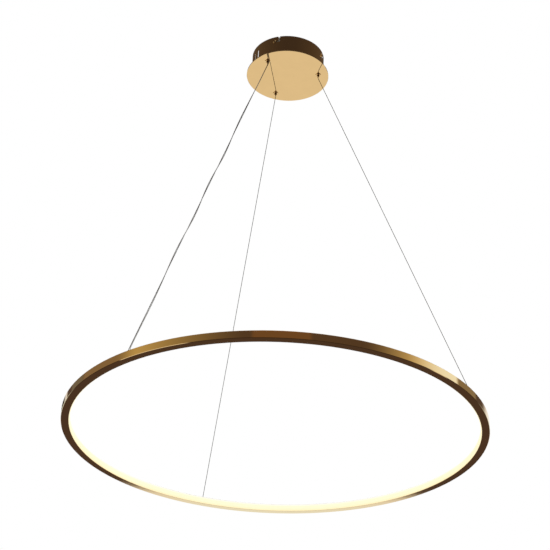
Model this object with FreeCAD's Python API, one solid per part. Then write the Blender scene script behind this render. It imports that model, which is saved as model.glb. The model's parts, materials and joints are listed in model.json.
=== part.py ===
import FreeCAD, Part
import math
import os

# LED ring chandelier. Millimetres, +Z up. The origin is on the ceiling, in the middle of the
# ceiling bracket, so the whole light hangs below Z = 0.

# --- ring ---
RING_RADIUS = 500.0              # outer face of the band
RING_WIDTH = 18.5                # radial width of the metal
RING_HEIGHT = 17.5
WEB_THICKNESS = 1.8              # outer wall of the channel
FLANGE_THICKNESS = 1.4           # its upper and lower walls
RIM_BEVEL = 0.8                  # broken edges of the band, and of the small turned parts
SEAM_AZIMUTH = -39.0             # where the two half rings meet; the other seam is opposite

DIFFUSER_PROUD = 2.1             # how far it stands out of the channel, towards the middle
DIFFUSER_WALL = 1.6
DIFFUSER_LIP = 0.9               # how much of each flange's edge it covers
DIFFUSER_LEG = 3.0               # depth of its two legs inside the channel
DIFFUSER_BEVEL = 1.4

STRIP_WIDTH = 10.0
STRIP_THICKNESS = 0.3
PHOSPHOR_WIDTH = 4.0
PHOSPHOR_DEPTH = 0.9
STRIP_GAP_ANGLE = 3.0            # the strip's two ends stop this far apart
GLUE_GAP = 0.05

JOINER_LENGTH = 64.0
JOINER_WIDTH = 8.0
JOINER_HEIGHT = 3.4
SET_SCREW_DIAMETER = 3.0
SET_SCREW_LENGTH = 4.0
SET_SCREW_SPACING = 14.0

# --- suspension ---
SUSPENSION_DROP = 1037.5         # underside of the face plate to the top of the ring
WIRE_AZIMUTHS = (-130.8, -7.8, 111.8)
GRIPPER_INSET = 12.3             # from the drum's inside to the grippers' axes
WIRE_DIAMETER = 1.5
WIRE_CLEARANCE = 0.2             # radial, in every bore the wire passes
WIRE_BEND = 8.0                  # radius of the wire's bend at either end
WIRE_TAIL = 4.0                  # spare end above the gripper

LEAD_DIAMETER = 2.0
LEAD_CLEARANCE = 0.2
LEAD_BESIDE_WIRE = 1.95          # distance between the two centre lines along the span
LEAD_GATHER = 15.0               # height over which the lead closes up to the wire, under the gripper
LEAD_PARTING = 12.0              # height above the anchor at which it leaves the wire again
LEAD_BEND = 10.0                 # its bend radius at both ends
LEAD_ENTRY_OFFSET = 7.0          # from the anchor to the lead's hole in the ring

# --- cable anchor on the ring ---
ANCHOR_FLANGE_DIAMETER = 8.4
ANCHOR_FLANGE_HEIGHT = 2.0
ANCHOR_SHANK_DIAMETER = 5.0
ANCHOR_SHANK_LENGTH = 7.0
ANCHOR_NUT_WIDTH = 8.0
ANCHOR_NUT_HEIGHT = 3.0
STOP_DIAMETER = 4.4
STOP_HEIGHT = 4.0
GROMMET_DIAMETER = 5.0
GROMMET_LIP = 0.8
CONNECTOR_LENGTH = 14.0
CONNECTOR_WIDTH = 9.0
CONNECTOR_HEIGHT = 4.4

# --- cable gripper ---
GRIPPER_FLANGE_DIAMETER = 14.6
GRIPPER_FLANGE_HEIGHT = 1.8
NOSE_LENGTH = 6.5                # underside of the plate to the end of the body's cone
NOSE_BASE_RADIUS = 3.7
NOSE_TIP_RADIUS = 2.9
BARREL_RADIUS = 6.0
BARREL_HEIGHT = 20.0             # above the plate's underside
GUIDE_RADIUS = 1.9               # bore that guides the plunger
SHOULDER_DEPTH = 1.0             # the plunger's stop, below the plate's underside
RACE_RADIUS_LOW = 2.2            # conical race of the balls
RACE_RADIUS_HIGH = 3.2
RACE_HEIGHT = 9.0
CAP_THICKNESS = 4.0
GRIPPER_NUT_WIDTH = 16.0
GRIPPER_NUT_HEIGHT = 5.0
LEAD_CHANNEL_OFFSET = 4.9        # the lead's channel, from the gripper's axis

PLUNGER_REACH = 3.5              # how far it stands out of the nose
PLUNGER_TRAVEL = 2.5
PLUNGER_CLEARANCE = 0.1
PLUNGER_MARGIN = 0.2             # straight stem left below the nose when it is pressed
PLUNGER_TIP_RADIUS = 1.45
PLUNGER_BEVEL = 0.2
NOSE_BEVEL = 0.3
CAGE_RADIUS = 2.05
CAGE_HEIGHT = 5.9
BALL_RADIUS = 0.8
BALL_COUNT = 3
BALL_HEIGHT = 0.7                # centre, above the plate's underside
BALL_CLEARANCE = 0.05
SPRING_RADIUS = 2.5              # middle of its wire
SPRING_WIRE = 0.5
SPRING_TURNS = 4
SPRING_SIDES = 12                # straight pieces in each turn

# --- canopy ---
PLATE_OVERHANG = 13.5            # how far the face plate stands out past the drum
PLATE_THICKNESS = 2.0
PLATE_BEVEL = 0.5
DRUM_DIAMETER = 193.0
DRUM_HEIGHT = 58.5
DRUM_SHEET = 1.2
CEILING_GAP = 0.5                # between the drum's rim and the ceiling
HOLE_CLEARANCE = 0.2             # radial, for barrels and studs

TAB_REACH = 13.0                # bent-in tabs that the face plate is bolted to
TAB_WIDTH = 20.0
STUD_DIAMETER = 4.0
STUD_HEIGHT = 8.0
STUD_NUT_WIDTH = 7.0
STUD_NUT_HEIGHT = 3.2
TAB_STUD_INSET = 7.3             # from the drum's inside to the tab's stud

VENTS_PER_SIDE = 3
VENT_AZIMUTH = -157.0            # middle slot of one group; the other group is opposite
VENT_PITCH = 10.4
VENT_WIDTH = 4.0
VENT_HEIGHT = 24.0
VENT_DEPTH = 30.0                # middle of the slots, below the ceiling

SCREW_COUNT = 4
FIRST_SCREW_AZIMUTH = -113.0
SCREW_DEPTH = 15.5               # below the ceiling
SCREW_DIAMETER = 4.0
SCREW_HEAD_DIAMETER = 8.0
SCREW_HEAD_HEIGHT = 2.6
SCREW_HEAD_GAP = 0.3
SCREW_LENGTH = 14.0              # under the head
TWIST_ANGLE = 7.5                # bayonet leg, from the screw to the entry cut
SLOT_CLEARANCE = 0.4             # either side of the screw
COIN_SLOT_WIDTH = 1.0            # in the heads of the locking screws and the earth screw
COIN_SLOT_DEPTH = 1.0

# --- ceiling bracket ---
BRACKET_SHEET = 2.0
BRACKET_HUB_DIAMETER = 110.0
ARM_WIDTH = 24.0
EAR_HEIGHT = 25.0
EAR_CLEARANCE = 0.9              # from the drum's inside at the ear's corners
EAR_BEND_RADIUS = 1.9            # outside of the fold between arm and ear
CABLE_HOLE_DIAMETER = 20.0
FIXING_SPACING = 70.0            # between the two slots for the ceiling screws
FIXING_SLOT_LENGTH = 16.0
FIXING_SLOT_WIDTH = 5.0
EAR_NUT_WIDTH = 7.0
EAR_NUT_LENGTH = 4.0
THREAD_CLEARANCE = 0.05
EARTH_SCREW_PLACE = (0.0, -30.0)
EARTH_SCREW_DIAMETER = 4.0
EARTH_WASHER_DIAMETER = 9.0
EARTH_WASHER_HEIGHT = 1.0
EARTH_HEAD_DIAMETER = 7.6
EARTH_HEAD_HEIGHT = 2.6

# --- driver and wiring inside the canopy ---
DRIVER_ROW_CLEARANCE = 6.2       # from the drum's inside to the terminal block's corners
DRIVER_WIDTH = 42.0
DRIVER_HEIGHT = 25.0
DRIVER_ROUND = 3.0
SADDLE_SHEET = 1.2
SADDLE_WIDTH = 16.0
SADDLE_FOOT = 14.0
SADDLE_CLEARANCE = 0.2
BLOCK_LENGTH = 28.0
BLOCK_DEPTH = 17.0
BLOCK_HEIGHT = 14.0
BLOCK_GAP = 12.0                 # between driver and terminal block
BLOCK_POLES = 3
POLE_PITCH = 9.0
POLE_SCREW_DIAMETER = 4.4
POLE_WELL_DEPTH = BLOCK_HEIGHT / 3
INPUT_LEAD_DIAMETER = 1.8
INPUT_LEAD_HEIGHT = 7.0          # above the plate
OUTPUT_LEAD_HEIGHT = 13.0        # above the plate
OUTPUT_LEAD_OFFSET = 10.0        # from the driver's middle
OUTPUT_LEAD_RUN = 13.0           # straight stretch out of the driver
# Way round to the first gripper: azimuth from it, distance from the drum's inside, and rise
OUTPUT_LEAD_LOOP = [(69.0, 11.7, 5.0), (48.1, 17.4, 12.0), (11.3, 23.9, 24.0)]
OUTPUT_LEAD_ARCH = 4.0           # from the arch's top to the gripper's axis
OUTPUT_LEAD_DROP = 10.0          # straight stretch down into the gripper's channel

# --- levels that follow from the sizes above ---
DRUM_TOP = -CEILING_GAP
PLATE_TOP = DRUM_TOP - DRUM_HEIGHT
PLATE_BOTTOM = PLATE_TOP - PLATE_THICKNESS
BARREL_TOP = PLATE_BOTTOM + BARREL_HEIGHT
NOSE_END = PLATE_BOTTOM - NOSE_LENGTH
PLUNGER_END = NOSE_END - PLUNGER_REACH
RING_TOP = PLATE_BOTTOM - SUSPENSION_DROP
RING_BOTTOM = RING_TOP - RING_HEIGHT
ANCHOR_TOP = RING_TOP + ANCHOR_FLANGE_HEIGHT
ANCHOR_CIRCLE = RING_RADIUS - RING_WIDTH / 2
RING_INSIDE = RING_RADIUS - RING_WIDTH
DRUM_INSIDE = DRUM_DIAMETER / 2 - DRUM_SHEET
PLATE_DIAMETER = DRUM_DIAMETER + 2 * PLATE_OVERHANG
GRIPPER_CIRCLE = DRUM_INSIDE - GRIPPER_INSET
TAB_STUD_RADIUS = DRUM_INSIDE - TAB_STUD_INSET
ROW_REACH = math.sqrt((DRUM_INSIDE - DRIVER_ROW_CLEARANCE) ** 2 - (BLOCK_LENGTH / 2) ** 2)
DRIVER_LENGTH = 2 * (ROW_REACH - BLOCK_GAP - BLOCK_DEPTH)
WIRE_BORE = WIRE_DIAMETER / 2 + WIRE_CLEARANCE
WIRE_SLANT = math.atan2(ANCHOR_CIRCLE - GRIPPER_CIRCLE, PLUNGER_END - ANCHOR_TOP)
WIRE_LEAN = WIRE_BEND * math.tan(WIRE_SLANT / 2) + WIRE_CLEARANCE
WIRE_COUNT = len(WIRE_AZIMUTHS)

X_AXIS = FreeCAD.Vector(1, 0, 0)
Y_AXIS = FreeCAD.Vector(0, 1, 0)
Z_AXIS = FreeCAD.Vector(0, 0, 1)
ORIGIN = FreeCAD.Vector(0, 0, 0)


def point(x, y, z):
    return FreeCAD.Vector(x, y, z)


def rounded_outline(corners):
    """Closed wire through (x, z) corners of the XZ plane; a third value rounds that corner."""
    count = len(corners)
    spots = [point(corner[0], 0, corner[1]) for corner in corners]
    edges = []
    starts = []
    ends = []
    arcs = []
    for index, corner in enumerate(corners):
        spot = spots[index]
        if len(corner) < 3:
            starts.append(spot)
            ends.append(spot)
            arcs.append(None)
            continue
        back = (spots[index - 1] - spot).normalize()
        ahead = (spots[(index + 1) % count] - spot).normalize()
        half = back.getAngle(ahead) / 2
        setback = corner[2] / math.tan(half)
        middle = spot + (back + ahead).normalize() * (corner[2] / math.sin(half) - corner[2])
        starts.append(spot + back * setback)
        ends.append(spot + ahead * setback)
        arcs.append(middle)
    for index in range(count):
        if arcs[index] is not None:
            edges.append(Part.Arc(starts[index], arcs[index], ends[index]).toShape())
        edges.append(Part.LineSegment(ends[index], starts[(index + 1) % count]).toShape())
    return Part.Wire(edges)


def bevelled(corners):
    """Puts the two ends of a bevel in place of each (x, z, size) corner."""
    spots = [point(corner[0], 0, corner[1]) for corner in corners]
    result = []
    for index, corner in enumerate(corners):
        if len(corner) < 3:
            result.append(corner)
            continue
        for neighbour in (spots[index - 1], spots[(index + 1) % len(corners)]):
            end = spots[index] + (neighbour - spots[index]).normalize() * corner[2]
            result.append((end.x, end.z))
    return result


def turned(corners, angle=360.0, start=0.0):
    """Solid turned about Z from (radius, z) corners, over an angle that starts at an azimuth.
    A third value bevels its corner."""
    solid = Part.Face(rounded_outline(bevelled(corners))).revolve(ORIGIN, Z_AXIS, angle)
    solid.rotate(ORIGIN, Z_AXIS, start)
    return solid


def disc(radius, low, high, x=0.0, y=0.0):
    return Part.makeCylinder(radius, high - low, point(x, y, low))


def radial_rod(radius, inner, outer, height):
    """Cylinder that lies along +X from one radius to another, at a height."""
    return Part.makeCylinder(radius, outer - inner, point(inner, 0, height), X_AXIS)


def block(size_x, size_y, low, high, x=0.0, y=0.0):
    """Upright box centred on (x, y)."""
    return Part.makeBox(size_x, size_y, high - low, point(x - size_x / 2, y - size_y / 2, low))


def hexagon(across_flats, low, high, x=0.0, y=0.0, first_corner=30):
    reach = across_flats / math.sqrt(3)
    corners = []
    for side in range(6):
        turn = math.radians(60 * side + first_corner)
        corners.append(point(x + reach * math.cos(turn), y + reach * math.sin(turn), low))
    corners.append(corners[0])
    return Part.Face(Part.makePolygon(corners)).extrude(point(0, 0, high - low))


def turned_to(shape, azimuth):
    copy = shape.copy()
    copy.rotate(ORIGIN, Z_AXIS, azimuth)
    return copy


def at_wire(shape, index):
    """Puts a shape drawn on the +X side at one of the suspension wires."""
    return turned_to(shape, WIRE_AZIMUTHS[index])


def at_screw(shape, index):
    return turned_to(shape, FIRST_SCREW_AZIMUTH + index * 360.0 / SCREW_COUNT)


def cord(points, diameter, bends):
    """Round cord: straight runs joined by tangent arcs, one bend radius for each inner point."""
    edges = []
    here = points[0]
    for index, radius in enumerate(bends, start=1):
        corner = points[index]
        back = (points[index - 1] - corner).normalize()
        ahead = (points[index + 1] - corner).normalize()
        half = back.getAngle(ahead) / 2
        setback = radius / math.tan(half)
        middle = corner + (back + ahead).normalize() * (radius / math.sin(half) - radius)
        edges.append(Part.LineSegment(here, corner + back * setback).toShape())
        edges.append(Part.Arc(corner + back * setback, middle, corner + ahead * setback).toShape())
        here = corner + ahead * setback
    edges.append(Part.LineSegment(here, points[-1]).toShape())
    path = Part.Wire(edges)
    start = (points[1] - points[0]).normalize()
    section = Part.Wire(Part.makeCircle(diameter / 2, points[0], start))
    tube = path.makePipeShell([section], True, False)
    expected = math.pi * (diameter / 2) ** 2 * path.Length
    print("cord", round(diameter, 2), "length", round(path.Length, 1),
          "bends", [round(radius, 1) for radius in bends],
          "volume ratio", round(tube.Volume / expected, 4))
    return tube


def widest_bends(points):
    """Bend radius at each inner point: as wide as its two runs leave room for."""
    bends = []
    for index in range(1, len(points) - 1):
        back = points[index - 1] - points[index]
        ahead = points[index + 1] - points[index]
        shorter = min(back.Length, ahead.Length)
        bends.append(0.45 * shorter * math.tan(back.getAngle(ahead) / 2))
    return bends


# --- ring ---

def ring_corners(outline):
    """Turns (depth from the band, height above the underside) into (radius, z)."""
    return [(RING_RADIUS - corner[0], RING_BOTTOM + corner[1]) + tuple(corner[2:])
            for corner in outline]


def channel_outline():
    upper = RING_HEIGHT - FLANGE_THICKNESS
    return [
        (0.0, 0.0, RIM_BEVEL),
        (RING_WIDTH, 0.0),
        (RING_WIDTH, FLANGE_THICKNESS),
        (WEB_THICKNESS, FLANGE_THICKNESS),
        (WEB_THICKNESS, upper),
        (RING_WIDTH, upper),
        (RING_WIDTH, RING_HEIGHT),
        (0.0, RING_HEIGHT, RIM_BEVEL),
    ]


def ring_half(side):
    """Half of the rolled channel, with the holes for the anchors and the lead."""
    half = turned(ring_corners(channel_outline()), 180.0, SEAM_AZIMUTH + 180.0 * side)
    low = RING_TOP - 2 * FLANGE_THICKNESS
    high = RING_TOP + FLANGE_THICKNESS
    hole = disc(ANCHOR_SHANK_DIAMETER / 2 + HOLE_CLEARANCE, low, high, ANCHOR_CIRCLE)
    for index in range(WIRE_COUNT):
        half = half.cut(at_wire(hole, index))
    grommet_hole = disc(GROMMET_DIAMETER / 2 - GROMMET_LIP, low, high, ANCHOR_CIRCLE,
                        LEAD_ENTRY_OFFSET)
    return half.cut(at_wire(grommet_hole, 0))


def joiner_screw_places():
    """Angles from the seam at which the set screws stand."""
    pitch = math.degrees(SET_SCREW_SPACING / ANCHOR_CIRCLE)
    return [pitch * step for step in (-1.5, -0.5, 0.5, 1.5)]


def ring_joiner(side):
    low = RING_BOTTOM + FLANGE_THICKNESS
    inner = ANCHOR_CIRCLE - JOINER_WIDTH / 2
    outer = ANCHOR_CIRCLE + JOINER_WIDTH / 2
    span = math.degrees(JOINER_LENGTH / ANCHOR_CIRCLE)
    seam = SEAM_AZIMUTH + 180.0 * side
    bar = turned([(inner, low), (outer, low), (outer, low + JOINER_HEIGHT),
                  (inner, low + JOINER_HEIGHT)], span, seam - span / 2)
    hole = disc(SET_SCREW_DIAMETER / 2 + THREAD_CLEARANCE, low - 1, low + JOINER_HEIGHT + 1,
                ANCHOR_CIRCLE)
    for angle in joiner_screw_places():
        bar = bar.cut(turned_to(hole, seam + angle))
    return bar


def joiner_set_screws():
    low = RING_BOTTOM + FLANGE_THICKNESS
    screw = disc(SET_SCREW_DIAMETER / 2, low, low + SET_SCREW_LENGTH, ANCHOR_CIRCLE)
    screws = []
    for side in (0, 1):
        for angle in joiner_screw_places():
            screws.append(turned_to(screw, SEAM_AZIMUTH + 180.0 * side + angle))
    return Part.makeCompound(screws)


def diffuser():
    """Opal strip: a face with broken edges over the channel's mouth and two legs inside it."""
    near = RING_WIDTH + DIFFUSER_PROUD
    low = FLANGE_THICKNESS - DIFFUSER_LIP
    high = RING_HEIGHT - low
    leg = FLANGE_THICKNESS + GLUE_GAP
    back = RING_WIDTH - DIFFUSER_LEG
    hollow = near - DIFFUSER_WALL
    outline = [
        (RING_WIDTH, low),
        (near, low, DIFFUSER_BEVEL),
        (near, high, DIFFUSER_BEVEL),
        (RING_WIDTH, high),
        (RING_WIDTH, RING_HEIGHT - leg),
        (back, RING_HEIGHT - leg),
        (back, RING_HEIGHT - leg - DIFFUSER_WALL),
        (hollow, RING_HEIGHT - leg - DIFFUSER_WALL),
        (hollow, leg + DIFFUSER_WALL),
        (back, leg + DIFFUSER_WALL),
        (back, leg),
        (RING_WIDTH, leg),
    ]
    return turned(ring_corners(outline))


def strip_arc(outline):
    """Part of the LED strip, open over a small gap at the lead's hole."""
    start = WIRE_AZIMUTHS[0] + math.degrees(LEAD_ENTRY_OFFSET / ANCHOR_CIRCLE)
    return turned(ring_corners(outline), 360.0 - STRIP_GAP_ANGLE, start + STRIP_GAP_ANGLE / 2)


def led_strip():
    low = (RING_HEIGHT - STRIP_WIDTH) / 2
    back = WEB_THICKNESS + GLUE_GAP
    front = back + STRIP_THICKNESS
    return strip_arc([(back, low), (front, low), (front, low + STRIP_WIDTH),
                      (back, low + STRIP_WIDTH)])


def phosphor_line():
    middle = RING_HEIGHT / 2
    back = WEB_THICKNESS + GLUE_GAP + STRIP_THICKNESS
    front = back + PHOSPHOR_DEPTH
    half = PHOSPHOR_WIDTH / 2
    return strip_arc([(back, middle - half), (front, middle - half / 2),
                      (front, middle + half / 2), (back, middle + half)])


def cable_anchor():
    shank_end = RING_TOP - ANCHOR_SHANK_LENGTH
    flange = ANCHOR_FLANGE_DIAMETER / 2
    shank = ANCHOR_SHANK_DIAMETER / 2
    body = turned([(WIRE_BORE, shank_end), (shank, shank_end), (shank, RING_TOP),
                   (flange, RING_TOP), (flange, ANCHOR_TOP, RIM_BEVEL), (WIRE_BORE, ANCHOR_TOP)])
    body.translate(point(ANCHOR_CIRCLE, 0, 0))
    return body


def anchor_nuts():
    """Nuts inside the channel, each with a flat towards the lead's side."""
    high = RING_TOP - FLANGE_THICKNESS
    nut = hexagon(ANCHOR_NUT_WIDTH, high - ANCHOR_NUT_HEIGHT, high, ANCHOR_CIRCLE, 0, 0)
    hole = disc(ANCHOR_SHANK_DIAMETER / 2 + THREAD_CLEARANCE, high - ANCHOR_NUT_HEIGHT - 1,
                high + 1, ANCHOR_CIRCLE)
    nut = nut.cut(hole)
    return Part.makeCompound([at_wire(nut, index) for index in range(WIRE_COUNT)])


def cable_stop():
    """Crimped sleeve on the wire's end, drawn up against the anchor's shank."""
    high = RING_TOP - ANCHOR_SHANK_LENGTH
    low = high - STOP_HEIGHT
    radius = STOP_DIAMETER / 2
    sleeve = turned([(WIRE_DIAMETER / 2 + GLUE_GAP, low), (radius, low), (radius, high),
                     (WIRE_DIAMETER / 2 + GLUE_GAP, high)])
    sleeve.translate(point(ANCHOR_CIRCLE, 0, 0))
    return sleeve


def lead_grommet():
    """Flanged bush that lines the lead's hole in the ring."""
    bore = LEAD_DIAMETER / 2 + GLUE_GAP
    flange = GROMMET_DIAMETER / 2
    neck = flange - GROMMET_LIP - GLUE_GAP
    under = RING_TOP - FLANGE_THICKNESS
    high = RING_TOP + GROMMET_LIP
    bush = turned([(bore, under - GROMMET_LIP), (flange, under - GROMMET_LIP), (flange, under),
                   (neck, under), (neck, RING_TOP), (flange, RING_TOP),
                   (flange - GROMMET_LIP / 2, high), (bore, high)])
    bush.translate(point(ANCHOR_CIRCLE, LEAD_ENTRY_OFFSET, 0))
    return at_wire(bush, 0)


def connector_top():
    return RING_BOTTOM + FLANGE_THICKNESS + CONNECTOR_HEIGHT


def strip_connector():
    """Clip on the LED strip's end, under the grommet; it takes the lead from above."""
    low = RING_BOTTOM + FLANGE_THICKNESS
    body = block(CONNECTOR_WIDTH, CONNECTOR_LENGTH, low, connector_top(), ANCHOR_CIRCLE,
                 LEAD_ENTRY_OFFSET)
    upright = [edge for edge in body.Edges if abs(edge.tangentAt(edge.FirstParameter).z) > 0.9]
    return at_wire(body.makeChamfer(RIM_BEVEL, upright), 0)


# --- suspension wires and power lead ---

def suspension_wire():
    high = point(GRIPPER_CIRCLE, 0, BARREL_TOP + WIRE_TAIL)
    upper = point(GRIPPER_CIRCLE, 0, PLUNGER_END - WIRE_LEAN)
    lower = point(ANCHOR_CIRCLE, 0, ANCHOR_TOP + WIRE_LEAN)
    low = point(ANCHOR_CIRCLE, 0, RING_TOP - ANCHOR_SHANK_LENGTH - STOP_HEIGHT)
    return cord([high, upper, lower, low], WIRE_DIAMETER, [WIRE_BEND, WIRE_BEND])


def beside_wire(depth, offset):
    """Point at the height PLUNGER_END - depth, set off sideways from the wire's line."""
    fall = PLUNGER_END - ANCHOR_TOP
    out = GRIPPER_CIRCLE + (ANCHOR_CIRCLE - GRIPPER_CIRCLE) * depth / fall
    return point(out, offset, PLUNGER_END - depth)


def power_lead():
    """Lead from the first gripper's channel down beside its wire and into the ring."""
    fall = PLUNGER_END - ANCHOR_TOP
    points = [
        point(GRIPPER_CIRCLE, LEAD_CHANNEL_OFFSET, BARREL_TOP),
        point(GRIPPER_CIRCLE, LEAD_CHANNEL_OFFSET, NOSE_END),
        beside_wire(LEAD_GATHER, LEAD_BESIDE_WIRE),
        beside_wire(fall - LEAD_PARTING, LEAD_BESIDE_WIRE),
        point(ANCHOR_CIRCLE, LEAD_ENTRY_OFFSET, ANCHOR_TOP + 2 * LEAD_DIAMETER),
        point(ANCHOR_CIRCLE, LEAD_ENTRY_OFFSET, connector_top()),
    ]
    bends = widest_bends(points)
    bends[0] = LEAD_BEND
    bends[-1] = LEAD_BEND
    return at_wire(cord(points, LEAD_DIAMETER, bends), 0)


# --- cable gripper, drawn on the +X side ---

def gripper_body(with_channel):
    race_low = PLATE_BOTTOM - SHOULDER_DEPTH
    flange = GRIPPER_FLANGE_DIAMETER / 2
    under = PLATE_BOTTOM - GRIPPER_FLANGE_HEIGHT
    body = turned([
        (GUIDE_RADIUS, NOSE_END),
        (NOSE_TIP_RADIUS, NOSE_END, NOSE_BEVEL),
        (NOSE_BASE_RADIUS, under),
        (flange, under, GRIPPER_FLANGE_HEIGHT / 2),
        (flange, PLATE_BOTTOM),
        (BARREL_RADIUS, PLATE_BOTTOM),
        (BARREL_RADIUS, BARREL_TOP),
        (RACE_RADIUS_HIGH, BARREL_TOP),
        (RACE_RADIUS_HIGH, race_low + RACE_HEIGHT),
        (RACE_RADIUS_LOW, race_low),
        (GUIDE_RADIUS, race_low),
    ])
    if with_channel:
        width = LEAD_DIAMETER + 2 * LEAD_CLEARANCE
        groove = disc(width / 2, NOSE_END, BARREL_TOP + 1, 0, LEAD_CHANNEL_OFFSET)
        mouth = block(width, BARREL_RADIUS, PLATE_BOTTOM, BARREL_TOP + 1, 0,
                      LEAD_CHANNEL_OFFSET + BARREL_RADIUS / 2)
        body = body.cut(groove).cut(mouth)
    body.translate(point(GRIPPER_CIRCLE, 0, 0))
    return body


def gripper_nut():
    nut = hexagon(GRIPPER_NUT_WIDTH, PLATE_TOP, PLATE_TOP + GRIPPER_NUT_HEIGHT, GRIPPER_CIRCLE)
    hole = disc(BARREL_RADIUS + THREAD_CLEARANCE, PLATE_TOP - 1,
                PLATE_TOP + GRIPPER_NUT_HEIGHT + 1, GRIPPER_CIRCLE)
    return nut.cut(hole)


def gripper_cap():
    """Plug that closes the top of the barrel and holds the spring down."""
    outer = RACE_RADIUS_HIGH - THREAD_CLEARANCE
    low = BARREL_TOP - CAP_THICKNESS
    cap = turned([(WIRE_BORE, low), (outer, low), (outer, BARREL_TOP), (WIRE_BORE, BARREL_TOP)])
    cap.translate(point(GRIPPER_CIRCLE, 0, 0))
    return cap


def ball_circle():
    """Distance of a ball's centre from the wire's axis, when it touches the wire."""
    return WIRE_DIAMETER / 2 + BALL_RADIUS + BALL_CLEARANCE / 2


def ball_spot(index):
    turn = math.radians(360.0 / BALL_COUNT * index + 30.0)
    reach = ball_circle()
    return point(reach * math.cos(turn), reach * math.sin(turn), PLATE_BOTTOM + BALL_HEIGHT)


def gripper_plunger():
    """Release plunger: conical tip, guided stem, and the cage that carries the balls."""
    stem = GUIDE_RADIUS - PLUNGER_CLEARANCE
    cage_low = PLATE_BOTTOM - SHOULDER_DEPTH + GLUE_GAP
    body = turned([
        (WIRE_BORE, PLUNGER_END),
        (PLUNGER_TIP_RADIUS, PLUNGER_END, PLUNGER_BEVEL),
        (stem, NOSE_END - PLUNGER_TRAVEL - PLUNGER_MARGIN),
        (stem, cage_low),
        (CAGE_RADIUS, cage_low),
        (CAGE_RADIUS, cage_low + CAGE_HEIGHT),
        (WIRE_BORE, cage_low + CAGE_HEIGHT),
    ])
    for index in range(BALL_COUNT):
        spot = ball_spot(index)
        outward = point(spot.x, spot.y, 0).normalize()
        inner = point(0, 0, spot.z)
        window = Part.makeCylinder(BALL_RADIUS + BALL_CLEARANCE, 2 * CAGE_RADIUS, inner, outward)
        body = body.cut(window)
    body.translate(point(GRIPPER_CIRCLE, 0, 0))
    return body


def gripper_balls():
    balls = []
    for index in range(BALL_COUNT):
        ball = Part.makeSphere(BALL_RADIUS, ball_spot(index))
        ball.translate(point(GRIPPER_CIRCLE, 0, 0))
        balls.append(ball)
    return Part.makeCompound(balls)


def gripper_spring():
    """Coil spring between the cage and the cap, its turns in short straight pieces."""
    low = PLATE_BOTTOM - SHOULDER_DEPTH + 2 * GLUE_GAP + CAGE_HEIGHT + SPRING_WIRE / 2
    high = BARREL_TOP - CAP_THICKNESS - GLUE_GAP - SPRING_WIRE / 2
    count = SPRING_TURNS * SPRING_SIDES
    spots = []
    for index in range(count + 1):
        turn = 2 * math.pi * index / SPRING_SIDES
        spots.append(point(SPRING_RADIUS * math.cos(turn), SPRING_RADIUS * math.sin(turn),
                           (high - low) * index / count))
    half = SPRING_WIRE / 2
    section = Part.makePolygon([
        point(SPRING_RADIUS - half, 0, -half),
        point(SPRING_RADIUS + half, 0, -half),
        point(SPRING_RADIUS + half, 0, half),
        point(SPRING_RADIUS - half, 0, half),
        point(SPRING_RADIUS - half, 0, -half),
    ])
    mitred = 1
    coil = Part.makePolygon(spots).makePipeShell([section], True, True, mitred)
    coil.translate(point(GRIPPER_CIRCLE, 0, low))
    return coil


# --- canopy ---

def canopy_plate():
    radius = PLATE_DIAMETER / 2
    plate = turned([(0, PLATE_BOTTOM), (radius, PLATE_BOTTOM, PLATE_BEVEL),
                    (radius, PLATE_TOP, PLATE_BEVEL), (0, PLATE_TOP)])
    hole = disc(BARREL_RADIUS + HOLE_CLEARANCE, PLATE_BOTTOM - 1, PLATE_TOP + 1, GRIPPER_CIRCLE)
    for index in range(WIRE_COUNT):
        plate = plate.cut(at_wire(hole, index))
    return plate


def tab_azimuths():
    """The tabs stand half-way between the grippers."""
    following = WIRE_AZIMUTHS[1:] + (WIRE_AZIMUTHS[0] + 360.0,)
    return [(here + after) / 2 for here, after in zip(WIRE_AZIMUTHS, following)]


def bayonet_cut():
    """L-shaped slot from the rim: an entry cut, then a leg round to the screw."""
    half = SCREW_DIAMETER / 2 + SLOT_CLEARANCE
    inner = DRUM_INSIDE - 1
    outer = DRUM_DIAMETER / 2 + 1
    low = -SCREW_DEPTH - half
    entry = Part.makeBox(outer - inner, 2 * half, -low + 1, point(inner, -half, low + half))
    entry = turned_to(entry, TWIST_ANGLE)
    leg = turned([(inner, low), (outer, low), (outer, low + 2 * half), (inner, low + 2 * half)],
                 TWIST_ANGLE)
    seat = radial_rod(half, inner, outer, -SCREW_DEPTH)
    return entry.fuse([leg, seat, turned_to(seat, TWIST_ANGLE)])


def vent_cut():
    inner = DRUM_INSIDE - 1
    outer = DRUM_DIAMETER / 2 + 1
    reach = (VENT_HEIGHT - VENT_WIDTH) / 2
    slot = Part.makeBox(outer - inner, VENT_WIDTH, 2 * reach,
                        point(inner, -VENT_WIDTH / 2, -VENT_DEPTH - reach))
    ends = [radial_rod(VENT_WIDTH / 2, inner, outer, -VENT_DEPTH + side * reach)
            for side in (-1, 1)]
    return slot.fuse(ends)


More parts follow.
